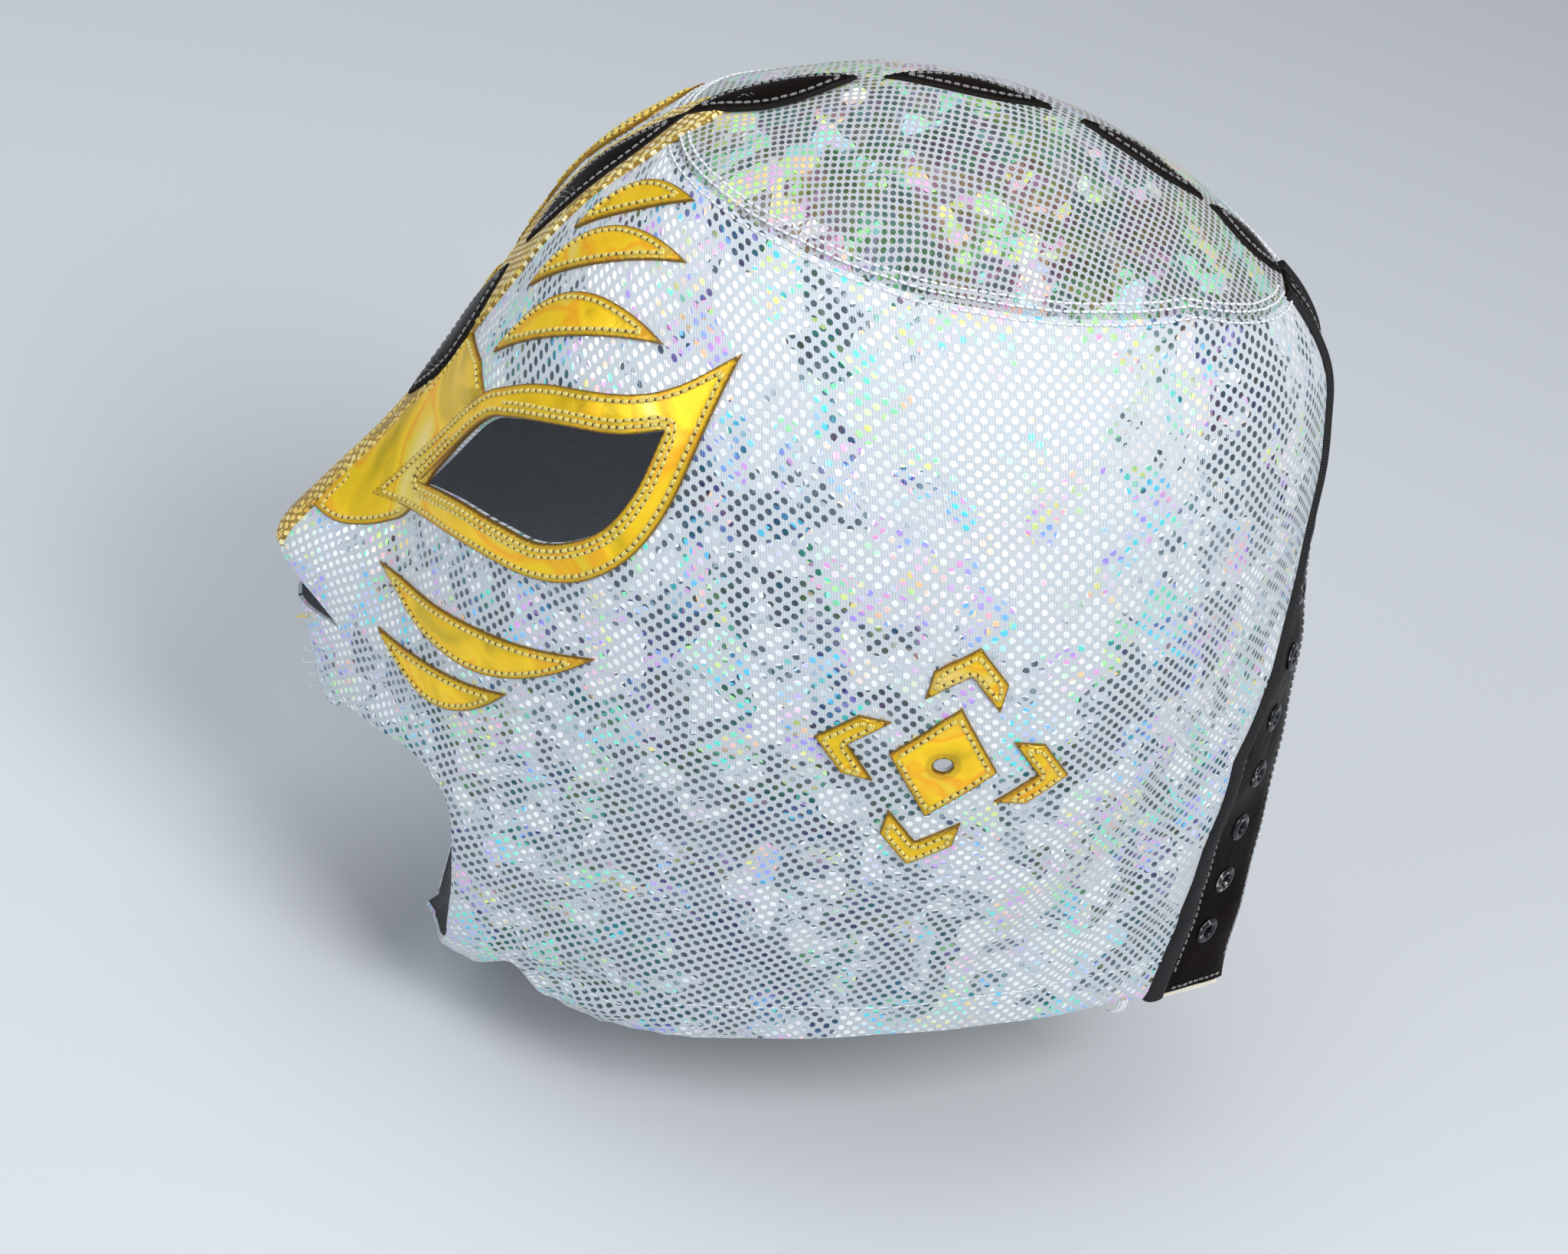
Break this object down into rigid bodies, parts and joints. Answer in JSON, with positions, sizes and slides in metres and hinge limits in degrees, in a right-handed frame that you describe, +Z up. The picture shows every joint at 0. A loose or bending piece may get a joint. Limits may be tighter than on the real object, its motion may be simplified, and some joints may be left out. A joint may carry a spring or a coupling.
{
  "type": "wrestling mask",
  "caption": "Full-head wrestling mask of foil-dotted knit with gold vinyl eye surrounds, nose guard and appliques, open mouth and chin, and an eyelet placket down the open back.",
  "frame": {"origin": "top of the crown on the inside, where the mask rests on a head", "axes": "+Z up, the face looks towards -Y, +X is the wearer's left"},
  "size_m": [0.1588, 0.2323, 0.2414],
  "materials": {
    "knit": "pale grey knit with silver holographic foil dots",
    "gold_vinyl": "glossy gold holographic vinyl",
    "gold_foil": "knit with gold foil dots",
    "black_vinyl": "black patent vinyl",
    "black_binding": "ribbed black binding",
    "backing": "cream cotton",
    "eyelet_metal": "black enamelled, bright at the rim"
  },
  "bodies": {
    "root": {"brow_crescent_1_left": "gold_vinyl", "brow_crescent_1_right": "gold_vinyl", "brow_crescent_2_left": "gold_vinyl", "brow_crescent_2_right": "gold_vinyl", "brow_crescent_3_left": "gold_vinyl", "brow_crescent_3_right": "gold_vinyl", "cheek_crescent_1_left": "gold_vinyl", "cheek_crescent_1_right": "gold_vinyl", "cheek_crescent_2_left": "gold_vinyl", "cheek_crescent_2_right": "gold_vinyl", "crest_leaf_1": "black_vinyl", "crest_leaf_2": "black_vinyl", "crest_leaf_3": "black_vinyl", "crest_leaf_4": "black_vinyl", "crest_leaf_5": "black_vinyl", "crest_leaf_6": "black_vinyl", "crown_panel": "knit", "ear_chevron_back_left": "gold_vinyl", "ear_chevron_back_right": "gold_vinyl", "ear_chevron_down_left": "gold_vinyl", "ear_chevron_down_right": "gold_vinyl", "ear_chevron_front_left": "gold_vinyl", "ear_chevron_front_right": "gold_vinyl", "ear_chevron_up_left": "gold_vinyl", "ear_chevron_up_right": "gold_vinyl", "ear_lozenge_left": "gold_vinyl", "ear_lozenge_right": "gold_vinyl", "eye_surround_left": "gold_vinyl", "eye_surround_right": "gold_vinyl", "eyelet_1_left": "eyelet_metal", "eyelet_1_right": "eyelet_metal", "eyelet_2_left": "eyelet_metal", "eyelet_2_right": "eyelet_metal", "eyelet_3_left": "eyelet_metal", "eyelet_3_right": "eyelet_metal", "eyelet_4_left": "eyelet_metal", "eyelet_4_right": "eyelet_metal", "eyelet_5_left": "eyelet_metal", "eyelet_5_right": "eyelet_metal", "eyelet_6_left": "eyelet_metal", "eyelet_6_right": "eyelet_metal", "eyelet_7_left": "eyelet_metal", "eyelet_7_right": "eyelet_metal", "eyelet_8_left": "eyelet_metal", "eyelet_8_right": "eyelet_metal", "nose_guard_left": "gold_vinyl", "nose_guard_right": "gold_vinyl", "placket_backing_left": "backing", "placket_backing_right": "backing", "placket_binding_left": "black_binding", "placket_binding_right": "black_binding", "placket_left": "black_vinyl", "placket_right": "black_vinyl", "ridge_strip": "gold_foil", "side_panel_left": "knit", "side_panel_right": "knit"}
  },
  "joints": []
}
